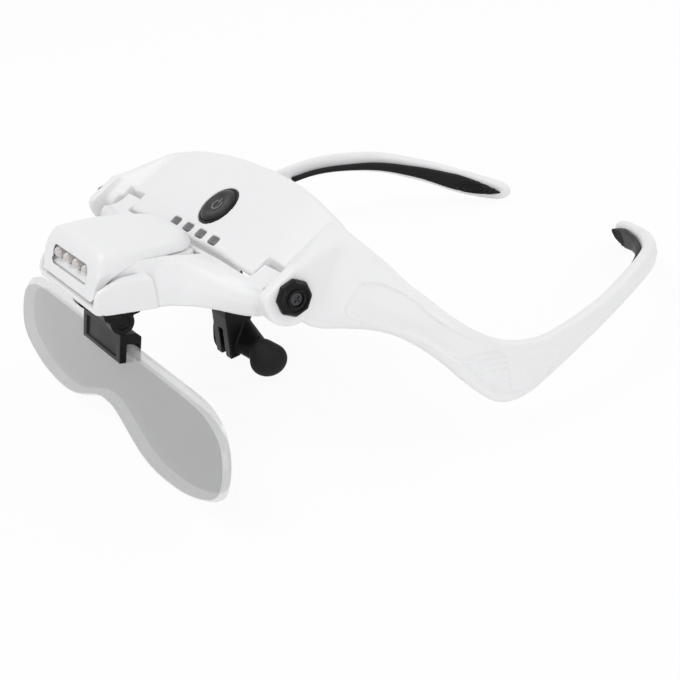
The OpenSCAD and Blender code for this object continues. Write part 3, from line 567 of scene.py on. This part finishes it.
def make_band():
    steps = 8
    rings = []
    for k in range(-LAST * steps, LAST * steps + 1):
        s = abs(k) / steps
        ring = section(s, 0, -band_t(s), 0, 0.25, shrink=tip_shrink(s, LAST, 0.75))
        rings.append(flipped(ring) if k < 0 else ring)
    body = loft("band", rings)
    # Bosses with a flat top, the shoulders that carry them back to the band's upper edge, and the web
    # that fills the corner between boss and brow, level with the brow along the notch
    x, y, z = SHOULDER
    tip = [(x + dx, y + dy, z + dz) for dx in (-0.6, 0.6) for dy in (-0.6, 0.6) for dz in (-0.6, 0.6)]
    shoulder = hull("shoulder", boss_points() + tip)
    web = [(x, y, -2.6) for x in (NOTCH_OUT, BOSS_X + 0.5) for y in (-0.8, 5)]
    web += [(NOTCH_OUT, y, brow_at(y)) for y in (-0.8, 5)]
    web += [(44.5, 6, brow_at(6) - 0.2), (44.5, 19.5, brow_at(19.5) - 0.6)]
    ridge = ((-0.8, 2.2), (3, 2.9), (6, 2.6), (11, 0.9), (16, -1.1), (19, -2.6))
    web += [(51, y, brow_at(y) + more) for y, more in ridge]
    web += [(45, 6, 0), (51, 6, 0), (46, 18, 6), (50.8, 18, 5)]
    bosses = both([shoulder, hull("web", web), rod("lug", NOTCH_OUT - 0.5, BOSS_X + 1, 3.1)])
    cutters = []
    for side in (1, -1):
        x0, x1 = sorted((side * NOTCH_IN, side * NOTCH_OUT))
        cutters.append(block("cut", (x0, -6, -12), (x1, NOTCH_Y, 12)))
    whole = joined("band", [body] + bosses)
    fused(whole, BAND_VOXEL, 5)
    softened(whole, at_shoulder, 160)
    hole = spun("hole", [(0, -8), (BUTTON_R + 0.95, -8), (BUTTON_R + 0.95, 4), (0, 4)], 96)
    moved(hole, BROW @ Matrix.Translation((0, BUTTON_V, 0)))
    cutters.append(hole)
    for k in range(4):
        x = (k - 1.5) * WINDOW_PITCH
        opening = rounded_rect(x - 2.1, WINDOW_V - 1.3, x + 2.1, WINDOW_V + 1.3, 0.4)
        cutters.append(moved(slab("cut", opening, -5, 3), BROW))
    cut_out(whole, cutters)
    fused(whole, BAND_VOXEL, 2)
    carve_arms(whole)
    return piece(whole, "band", "headband", ["headband_frame"], MAT["white_plastic"])


make_band()

# Pads on the arms, and the oval ripples in their faces: place along and up the band, depth below the
# band's outer face, radii, number and height
PAD_FROM, PAD_GAP, PAD_T, PAD_CUT = 14.3, 0.3, 1.5, 2.6
RIPPLE_S, RIPPLE_U, RIPPLE_DEEP, RIPPLE_LONG, RIPPLE_HIGH = 18.55, 0.5, 5, 8.6, 2.7
RIPPLE_COUNT, RIPPLE_DEPTH = 4.5, 0.27


def make_arm_pads():
    steps = 10
    first, end = PAD_FROM + 0.05, LAST - 0.38
    rings = []
    for k in range(int((end - first) * steps) + 1):
        s = first + (end - first) * k / int((end - first) * steps)
        t = -band_t(s) - PAD_GAP
        # The pad starts thin, its upper edge drops towards the temple, and its margins widen at the tip
        grow = min(1.0, math.sqrt(max(0.0, (s - first) * 3)) + 0.25)
        cut = PAD_CUT * max(0.0, min(1.0, (18 - s) / 2.4))
        margin, low = 1.0 + 0.6 * smooth((s - 18) / 1.5), 0.9 * smooth((s - 15.5) / 1.5)
        rings.append(section(s, t + 0.2, t - PAD_T * grow, margin + low, 0, 16, 7, tip_shrink(s, end, 0.6),
                             cut + margin - 1 - low))
    pad = fused(loft("pad", rings), 0.18, 4)
    places, tree = face_tree(np.arange(17.2, 19.9, 0.02), np.arange(0, 1.001, 0.04), RIPPLE_DEEP)
    a, h, up, out = band_frame(RIPPLE_S)
    centre = a + up * h * RIPPLE_U - out * RIPPLE_DEEP
    tangent = unit(np.cross(up, out))
    for v in pad.data.vertices:
        _, index, dist = tree.find(v.co)
        if dist > 2.2:
            continue
        n = places[index][2][3]
        rel = np.array(v.co) - centre
        rho = math.hypot(rel @ tangent / RIPPLE_LONG, rel @ up / RIPPLE_HIGH)
        if rho < 1:
            wave = math.sin(rho * 2 * RIPPLE_COUNT * math.pi) * smooth((1 - rho) * 6)
            v.co -= Vector(n * RIPPLE_DEPTH * wave)
    other = mirrored(pad)
    for obj, side in ((pad, "left"), (other, "right")):
        name = "arm_pad_" + side
        piece(obj, name + "_soft", "headband", [name], MAT["black_soft"])


make_arm_pads()


# Visor, from its ends to its middle: X, then (y, z) of the rear edge, the top, the front and the underside
WINGS = [
    [48.8, [-4.6, 1], [-5.8, 0.2], [-6.6, -4.4], [-4.8, -4.8]],
    [46, [-3, 0.9], [-4.8, 0.2], [-6.4, -5.4], [-3.2, -5.6]],
    [42, [-2.3, 1], [-5.6, -0.2], [-7.4, -6.2], [-3, -6]],
    [38, [-2.3, 1], [-6.8, 0.2], [-9, -6.2], [-3, -6]],
    [32, [-2.3, 1.1], [-8.6, 1.2], [-12, -5.6], [-3.2, -6]],
    [27, [-2.2, 1.2], [-10, 2.6], [-15, -5.2], [-4, -6]],
    [22, [-2.2, 1.4], [-12.5, 4.4], [-18.6, -5.2], [-5, -6.2]],
    [18.8, [-2.2, 1.4], [-16, 6.2], [-23.5, -4.8], [-6, -6.4]],
    [17.6, [-2.2, 1.4], [-22, 7.8], [-29.4, -3.4], [-7, -6.4]],
    [16.4, [-2.2, 1.4], [-27, 8.2], [-33.8, -1.6], [-8, -6.4]]]
WELL_X, WELL_Y, BASE_T, LIP = 15.2, 3.8, 1.2, 0.95
WING_END = len(WINGS) - 1


def wing_pt(s, j):
    def at(k):
        row = WINGS[max(0, min(WING_END, k))]
        return np.array([row[0], 0.0] if j == 0 else row[j], float)
    k = min(int(s), WING_END - 1)
    return catmull(at(k - 1), at(k), at(k + 1), at(k + 2), s - k)


def shell_ring(s, side):
    """Section of the shell: rear edge, top, front wall, and the lip that hides the base's edge."""
    x = side * wing_pt(s, 0)[0]
    r, g, f, q = wing_pt(s, 1), wing_pt(s, 2), wing_pt(s, 3), wing_pt(s, 4)
    r = r + np.array([0.45, 0.12]) * smooth((37.6 - abs(x)) / 1.4)  # Closer to the brow between the notches
    m = (r + g) / 2 + (0, 0.4 + (r[0] - g[0]) * 0.02)
    pts = [r + (0, -0.5), r + (-0.5, 0), m, g + (0.9, 0.1), g + (-0.3, -0.7), (g + f) / 2 + (-0.5, 0.3),
           f + (-0.1, 0.5), f + (0.1, 0.05), f + (LIP, 0.0), f + (LIP, BASE_T + 0.02), q + (0, BASE_T + 0.02)]
    return [(x, p[0], p[1]) for p in pts]


def base_ring(s, side):
    x = side * wing_pt(s, 0)[0]
    f, q = wing_pt(s, 3), wing_pt(s, 4)
    f = f + (LIP + 0.06, 0)
    pts = [f + (0, BASE_T - 0.03), f + (0, 0.5), f + (0.3, 0.05), q + (-0.6, 0.05), q + (0, 0.5),
           q + (0, BASE_T - 0.03)]
    return [(x, p[0], p[1]) for p in pts]


def wing_loft(name, ring):
    places = [WING_END * k / 72 for k in range(73)]
    return loft(name, [ring(s, -1) for s in places] + [ring(s, 1) for s in reversed(places)])


def screw_hole(x, y):
    return moved(spun("cut", [(0, -12), (1.05, -12), (1.05, 2), (0, 2)], 48), Matrix.Translation((x, y, 0)))


def make_visor():
    ear = prism("ear", [(-4, -2.6), (2, -2.6), (3.1, -1.6), (3.1, 2.7), (0, 1.5), (-4, 1)], 36.8, 45.6)
    # Cheek beside the lamp: (y, z) points of its inner face, its outer face, and its end in the wing
    cheek = [(18.25, [(-36.9, 0.8), (-36, 3.2), (-34.8, 4.8), (-31, 5.7), (-27, 6.1), (-21, 5), (-21.5, -4.8),
                      (-34.6, -1.9)]),
             (19.7, [(-36.7, 0.8), (-35.8, 3), (-34.6, 4.5), (-31, 5.3), (-28, 5.2), (-28, -3.2),
                     (-34.4, -1.9)]),
             (21.2, [(-20.4, 3.4), (-20.8, -4.9)])]
    cheek = hull("cheek", [(x, y, z) for x, face in cheek for y, z in face])
    shell = joined("visor", [wing_loft("wings", shell_ring)] + both([ear, cheek]))
    fused(shell, 0.28, 4)
    well = block("cut", (-WELL_X, -45, -8), (WELL_X, -WELL_Y, 20))
    pocket = prism("cut", [(-4.6, -12), (-9.6, -12), (-8.2, -0.6), (-4.6, -0.4)], 22, 34)
    cut_out(shell, [well] + both([rod("cut", 46.1, 60, 3.6), pocket]))
    # Lip under the front of the lamp, from cheek to cheek
    lip = [(-36.9, 0.2), (-36.7, -0.9), (-35.4, -1.7), (-34.4, -1.5), (-34.4, 0.2), (-35.6, 0.6)]
    shell = joined("visor", [shell, prism("lip", lip, -19, 19)])
    fused(shell, 0.26, 2)
    piece(shell, "visor", "visor", ["visor_shell"], MAT["white_plastic"])
    base = wing_loft("base", base_ring)
    fused(base, 0.24, 2)
    cut_out(base, both([screw_hole(19.4, -10), screw_hole(39, -5.4)]))
    piece(base, "visor_under", "visor", ["visor_base"], MAT["white_plastic"], 30)


make_visor()


# Lamp from its rear to its front: y, half width, height of the underside and of the top, lean of the section
LAMP = [
    [-2.6, 6, 3.3, 4.7, 0], [-3.8, 9.6, 3.3, 6.6, 0], [-7, 12.8, 3.6, 8.4, 0], [-13, 15.2, 5.0, 9.9, 0],
    [-19, 16.8, 6.6, 11, 0], [-25, 17.7, 6.8, 11.8, 0.1], [-29, 18.0, 5.6, 12.3, 0.2],
    [-31.6, 18.0, 3.6, 12.1, 0.34], [-33.6, 18.0, 2.0, 11.2, 0.5], [-34.6, 17.6, 1.2, 9.8, 0.5]]
LAMP_END = len(LAMP) - 1


def lamp_row(k):
    i = min(int(k), LAMP_END - 1)
    rows = [np.array(LAMP[max(0, min(LAMP_END, j))], float) for j in (i - 1, i, i + 1, i + 2)]
    return catmull(*rows, k - i)


def lamp_ring(k, shrink):
    """Section of the hood, or of its hollow when shrunk by the wall, which then reaches out below."""
    y, half, low, top, lean = lamp_row(k)
    w, b, t, m = half - shrink, low - (3 if shrink else 0), top - shrink, (low + top) / 2
    h = t - b
    r = min(4.5, (top - low) * 0.8 - shrink)
    foot = w - 0.8 * smooth((-27 - y) / 4)
    pts = [(-foot, b), (-foot, b + (h - r) / 2)]
    pts += [(-w + r - r * math.cos(g), t - r + r * math.sin(g)) for g in np.linspace(0, math.pi / 2, 9)]
    pts += [(-w / 2, t + 0.3), (0, t + 0.4), (w / 2, t + 0.3)]
    pts += [(w - r + r * math.sin(g), t - r + r * math.cos(g)) for g in np.linspace(0, math.pi / 2, 9)]
    pts += [(foot, b + (h - r) / 2), (foot, b)]
    return [(p[0], y + (p[1] - m) * lean, p[1]) for p in pts]


def stadium(name, half, r, y0, y1):
    """Slot with round ends at the height of the lamps, cut along Y."""
    turn = [math.radians(-90 + 180 * k / 16) for k in range(17)]
    outline = [(half + r * math.cos(g), LAMP_Z + r * math.sin(g)) for g in turn]
    outline += [(-half - r * math.cos(g), LAMP_Z - r * math.sin(g)) for g in turn]
    return extruded(name, [[(x, y, z) for x, z in outline] for y in (y0, y1)])


def make_lamp():
    hood = loft("hood", [lamp_ring(k, 0) for k in np.linspace(0, LAMP_END, 64)])
    inner = loft("inner", [lamp_ring(k, 1.4) for k in np.linspace(1.8, LAMP_END - 1, 48)])
    fused(hood, 0.3, 4)
    half = LED_PITCH * 1.5
    window = stadium("cut", half + 0.6, LED_R + 0.4, -45, -30.6)
    scoop = stadium("cut", half + 0.8, LED_R + 0.95, -45, -34.1)
    moved(scoop, Matrix.Translation((0, 0, -0.35)))
    cut_out(hood, [inner, scoop, window])
    fused(hood, 0.24, 2)
    piece(hood, "lamp_hood", "lamp", ["lamp_cover"], MAT["white_plastic"])
    base = bevelled(from_node("lamp_base"), 0.35, 3, 40)
    piece(base, "lamp_under", "lamp", ["lamp_base"], MAT["white_plastic"], 30)
    domes, cups = [], []
    for k in range(4):
        x = (k - 1.5) * LED_PITCH
        place = Matrix.Translation((x, REFLECTOR_Y + 1.45, LAMP_Z)) @ Matrix.Rotation(math.pi / 2, 4, "X")
        profile = [(0, -1), (LED_R + 0.3, -1), (LED_R + 0.3, 0), (LED_R, 0), (LED_R, 3.1)]
        profile += [(LED_R * math.cos(g), 3.1 + LED_R * math.sin(g)) for g in np.linspace(0.1, 1.5, 10)]
        profile.append((0, 3.1 + LED_R))
        domes.append(moved(spun("dome", profile, 40), place))
        cup = [(0, 0.3), (0.95, 0.3), (1.02, 3.0), (0.85, 3.2), (0.7, 2.9), (0.35, 2.2), (0, 2.1)]
        cups.append(moved(spun("cup", cup, 32), place))
    piece(joined("leds", domes), "lamp_domes", "lamp", ["lamp_leds"], MAT["led_clear"], 35)
    piece(joined("cups", cups), "lamp_cups", "lamp", [], MAT["led_cup"], 30)


make_lamp()


# Lens and its black parts. One half of its outline: x as a share of LENS_X, z down from its top edge
LENS_HALF = [
    [0, 0], [0.2, 0], [0.5, 0], [0.77, -0.3], [0.875, -1.6], [0.95, -4.4], [0.985, -8.4], [1, -12.5],
    [0.997, -16.5], [0.97, 7.7 - LENS_H], [0.89, 4.4 - LENS_H], [0.74, 1.4 - LENS_H], [0.6, 0.2 - LENS_H],
    [0.47, -LENS_H], [0.35, 1 - LENS_H], [0.24, 3.2 - LENS_H], [0.15, 5.4 - LENS_H], [0.065, 7 - LENS_H],
    [0, 7.2 - LENS_H]]
AT_LENS = Matrix.Translation((0, -HINGE_Y, -HINGE_Z)) @ Matrix.Rotation(-LEAN, 4, "X")


def lens_outline(steps=5):
    n = len(LENS_HALF) - 1
    pts = []

    def at(k):
        if k < 0:
            return np.array([-LENS_HALF[-k][0], LENS_HALF[-k][1]])
        if k > n:
            return np.array([-LENS_HALF[2 * n - k][0], LENS_HALF[2 * n - k][1]])
        return np.array(LENS_HALF[k], float)
    for k in range(n):
        for j in range(steps):
            p = catmull(at(k - 1), at(k), at(k + 1), at(k + 2), j / steps)
            pts.append((p[0] * LENS_X, p[1]))
    return pts + [(0, LENS_HALF[-1][1])] + [(-x, z) for x, z in reversed(pts[1:])]


def inset(outline, amount):
    """Outline moved inwards by an amount for each point."""
    pts = np.array(outline)
    along_it = np.roll(pts, -1, 0) - np.roll(pts, 1, 0)
    normal = np.stack([along_it[:, 1], -along_it[:, 0]], 1)
    normal /= np.linalg.norm(normal, axis=1)[:, None]
    return pts + normal * np.broadcast_to(amount, len(pts))[:, None]


def make_lens():
    """Plate in its own plane: X across, Y through it, Z up from its top edge. Both faces have a polished
    chamfer round them, wider along the top, and the rim carries a painted highlight."""
    outline = lens_outline()
    high = np.array([smooth((z + 9) / 8) for x, z in outline])
    # Distance in from the outline, and height through the plate
    levels = [(1.9 + 1.6 * high, LENS_T), (0.3, LENS_T - 0.9), (0.05, LENS_T - 1.05), (0.0, LENS_T - 1.3),
              (0.0, 1.1), (0.1, 0.85), (0.6 + 1.3 * high, 0.1), (0.75 + 1.4 * high, 0.0)]
    lens = loft("lens", [[(x, y, z) for x, z in inset(outline, amount)] for amount, y in levels])
    moved(lens, AT_LENS @ Matrix.Translation((0, LENS_P, LENS_TOP)))
    piece(lens, "lens_plate", "lens", ["lens"], MAT["lens_clear"], 12)
    # The rim, chamfers and edge, takes the lighter material that paints its highlight
    lens.data.materials.append(MAT["painted_lens_highlight"])
    count = len(outline) * (len(levels) - 1)
    for polygon in lens.data.polygons:
        polygon.material_index = 1 if polygon.index < count else 0


make_lens()


def soft_copy(node, name, body, slot, voxel, rounds):
    """A node's own shape with rounded edges."""
    return piece(fused(from_node(node), voxel, rounds), name, body, [node], MAT[slot])


soft_copy("lens_clip", "lens_grip", "lens_holder", "black_plastic", 0.16, 3)
soft_copy("lens_mount", "lens_bracket", "visor", "black_plastic", 0.16, 3)


def make_hinge_pin():
    """Pin of the lens hinge with a flat black knob in each ear."""
    half = [(1.1, 12.25), (1.85, 12.3), (1.75, 12.55), (1.3, 12.7), (0, 12.7)]
    profile = [(r, -z) for r, z in reversed(half)] + half
    place = Matrix.Translation((0, -HINGE_Y, -HINGE_Z)) @ Matrix.Rotation(math.pi / 2, 4, "Y")
    pin = moved(spun("pin", profile, 48), place)
    piece(pin, "hinge_pin_knobs", "visor", ["clip_hinge_pin"], MAT["black_plastic"], 30)


make_hinge_pin()
soft_copy("nose_bracket", "nose_stem", "headband", "black_plastic", 0.2, 4)
for side in ("left", "right"):
    soft_copy("nose_pad_" + side, "nose_cushion_" + side, "headband", "black_soft", 0.2, 5)
soft_copy("brow_rear_cover", "rear_cover", "headband", "white_plastic", 0.22, 3)


# Pivots
def octagon(r, z):
    angles = [math.radians(45 * k + 35) for k in range(8)]
    return [(r * math.cos(g), r * math.sin(g), z) for g in angles]


def make_pivots():
    across = Matrix.Rotation(math.pi / 2, 4, "Y")
    heads = []
    for node in ("pivot_cap_left", "pivot_cap_right"):
        cap = loft("cap", [octagon(CAP_R, 0), octagon(CAP_R, 0.9), octagon(CAP_R - 0.1, CAP_T - 0.9),
                           octagon(CAP_R - 0.75, CAP_T - 0.05)])
        bevelled(cap, 0.28, 3, 20)
        low, high = CAP_T - 0.55, CAP_T + 1
        groove = annulus("cut", [(3.15, low), (3.15, high), (2.45, high), (2.45, low)])
        cut_out(cap, [groove, spun("cut", [(0, 1.35), (1.85, 1.35), (1.85, 4), (0, 4)], 48)])
        bevelled(cap, 0.1, 2, 40)
        moved(cap, Matrix.Translation((CAP_X - CAP_T, 0, 0)) @ across @ Matrix.Rotation(math.pi / 2, 4, "Z"))
        profile = [(0, -2), (0.5, -2), (0.5, 0), (1.55, 0), (1.68, 0.12), (1.6, 0.36), (1.0, 0.5), (0, 0.52)]
        screw = spun("screw", profile, 40)
        cut_out(screw, [block("cut", (-0.95, -0.2, 0.12), (0.95, 0.2, 2)),
                        block("cut", (-0.2, -0.95, 0.12), (0.2, 0.95, 2))])
        moved(screw, Matrix.Translation((CAP_X - 0.75, 0, 0)) @ across @ Matrix.Rotation(0.6, 4, "Z"))
        if node == "pivot_cap_right":
            moved(cap, MIRROR)
            moved(screw, MIRROR)
        piece(cap, node + "_cap", "headband", [node], MAT["black_plastic"], 30)
        heads.append(screw)
    heads = joined("cap_screw_heads", heads)
    piece(heads, "cap_screw_heads", "headband", ["cap_screws"], MAT["dark_steel"], 30)


make_pivots()


# Button, rim and windows
def make_button():
    r = BUTTON_R
    profile = [(0, -6.2), (1.5, -6.2), (1.5, -3.4), (r + 0.6, -3.4), (r + 0.6, -2.7), (r, -2.7), (r, 0.2),
               (r - 0.08, 0.42), (r - 0.3, 0.62), (r - 0.7, 0.86), (r - 1.1, 0.98), (r - 1.6, 1.0),
               (r - 2, 0.94), (r - 2.3, 0.84), (r - 2.9, 0.7), (1.6, 0.6), (0, 0.57)]
    place = BROW @ Matrix.Translation((0, BUTTON_V, 0))
    button = moved(spun("button", profile, 96), place)
    piece(button, "button", "power_button", ["power_button"], MAT["button_black"], 35)
    # Plain power sign: an open ring with a bar
    turn = [math.radians(128 + 284 * k / 40) for k in range(41)]
    outline = [(1.85 * math.cos(g), 1.85 * math.sin(g)) for g in turn]
    outline += [(1.45 * math.cos(g), 1.45 * math.sin(g)) for g in reversed(turn)]
    sign = [slab("arc", outline, 0.4, 0.76), slab("bar", rounded_rect(-0.2, 0.5, 0.2, 2.3, 0.19), 0.4, 0.78)]
    piece(moved(joined("mark", sign), place), "button_mark", "power_button", [],
          MAT["button_mark"], 30)
    rim = ((0.15, -0.68), (0.15, 0.06), (0.25, 0.15), (0.65, 0.15), (0.83, 0.02), (0.83, -0.68))
    bezel = moved(annulus("rim", [(r + a, b) for a, b in rim]), place)
    piece(bezel, "button_bezel", "headband", ["button_rim"], MAT["black_plastic"], 30)


make_button()


def make_windows():
    panes = []
    for k in range(4):
        x = (k - 1.5) * WINDOW_PITCH
        face = rounded_rect(x - 1.98, WINDOW_V - 1.18, x + 1.98, WINDOW_V + 1.18, 0.4)
        foot = rounded_rect(x - 1.2, WINDOW_V - 0.8, x + 1.2, WINDOW_V + 0.8, 0.2)
        panes += [bevelled(slab("pane", face, -2.4, 0.02), 0.1, 2), slab("guide", foot, -6, -1.2)]
    panes = moved(joined("panes", panes), BROW)
    piece(panes, "window_panes", "headband", ["indicator_windows"], MAT["window_grey"], 30)


make_windows()


# Camera, light and stage
def aim(obj, pos, forward, up):
    forward, up = Vector(forward).normalized(), Vector(up)
    right = forward.cross(up).normalized()
    up = right.cross(forward)
    rot = Matrix((right, up, -forward)).transposed().to_4x4()
    obj.matrix_world = Matrix.Translation(pos) @ rot


camera = bpy.data.objects.new("camera", bpy.data.cameras.new("camera"))
# 1200 is the focal length in pixels of a picture 680 wide, from the fit to the photograph
camera.data.sensor_width, camera.data.lens = 36, 1200 / 680 * 36
camera.data.clip_start, camera.data.clip_end = 0.01, 10
bpy.context.scene.collection.objects.link(camera)
aim(camera, (0.2849, -0.1135 - FOOT_Y / 1000, 0.1216 + PIVOT_H / 1000), (-0.7797, 0.4182, -0.4661),
    (-0.3095, 0.3898, 0.8673))
bpy.context.scene.camera = camera


def area(name, pos, target, size, power):
    data = bpy.data.lights.new(name, "AREA")
    data.shape, data.size, data.energy = "DISK", size, power
    obj = bpy.data.objects.new(name, data)
    bpy.context.scene.collection.objects.link(obj)
    aim(obj, pos, Vector(target) - Vector(pos), (0.01, 0.02, 1))


area("key", (-0.35, -0.25, 0.95), (0, -0.02, 0.02), 0.7, 3.35)
area("fill", (0.9, -0.5, 0.35), (0, 0, 0.03), 0.8, 3.1)
area("rim", (0.2, 0.9, 0.6), (0, 0, 0.02), 0.6, 1.8)


def seen_apart(tree, share, usual, seen, output):
    """Mixes in, by share, a look that is seen, straight or in a reflection or glass, but gives no light."""
    nodes, links = tree.nodes, tree.links
    paths = nodes.new("ShaderNodeLightPath")
    level = paths.outputs["Is Camera Ray"]
    for kind in ("Is Glossy Ray", "Is Transmission Ray"):
        largest = nodes.new("ShaderNodeMath")
        largest.operation = "MAXIMUM"
        links.new(level, largest.inputs[0])
        links.new(paths.outputs[kind], largest.inputs[1])
        level = largest.outputs[0]
    part = nodes.new("ShaderNodeMath")
    part.operation = "MULTIPLY"
    part.inputs[1].default_value = share
    links.new(level, part.inputs[0])
    blend = nodes.new("ShaderNodeMixShader")
    links.new(part.outputs[0], blend.inputs[0])
    links.new(usual.outputs[0], blend.inputs[1])
    links.new(seen.outputs[0], blend.inputs[2])
    links.new(blend.outputs[0], nodes[output].inputs["Surface"])


world = bpy.data.worlds.new("world")
bpy.context.scene.world = world
world.use_nodes = True
back = world.node_tree.nodes["Background"]
back.inputs["Color"].default_value = (0.53, 0.53, 0.535, 1)
white = world.node_tree.nodes.new("ShaderNodeBackground")
white.inputs["Color"].default_value = (1, 1, 1, 1)
seen_apart(world.node_tree, 1.0, back, white, "World Output")

corners = [(x, y, -PIVOT_H - 0.02) for x, y in ((-3000, -3000), (3000, -3000), (3000, 3000), (-3000, 3000))]
floor = solid("floor", corners, [(0, 1, 2, 3)])
floor.data.transform(PLACE)
floor_mat = bpy.data.materials.new("floor")
floor_mat.use_nodes = True
shader = floor_mat.node_tree.nodes["Principled BSDF"]
shader.inputs["Base Color"].default_value = (0.94, 0.94, 0.94, 1)
shader.inputs["Roughness"].default_value = 0.9
shader.inputs["Specular IOR Level"].default_value = 0.1
glow = floor_mat.node_tree.nodes.new("ShaderNodeEmission")
glow.inputs["Color"].default_value = (1, 1, 1, 1)
seen_apart(floor_mat.node_tree, 0.92, shader, glow, "Material Output")
floor.data.materials.append(floor_mat)

bpy.context.scene.view_settings.view_transform = "Standard"
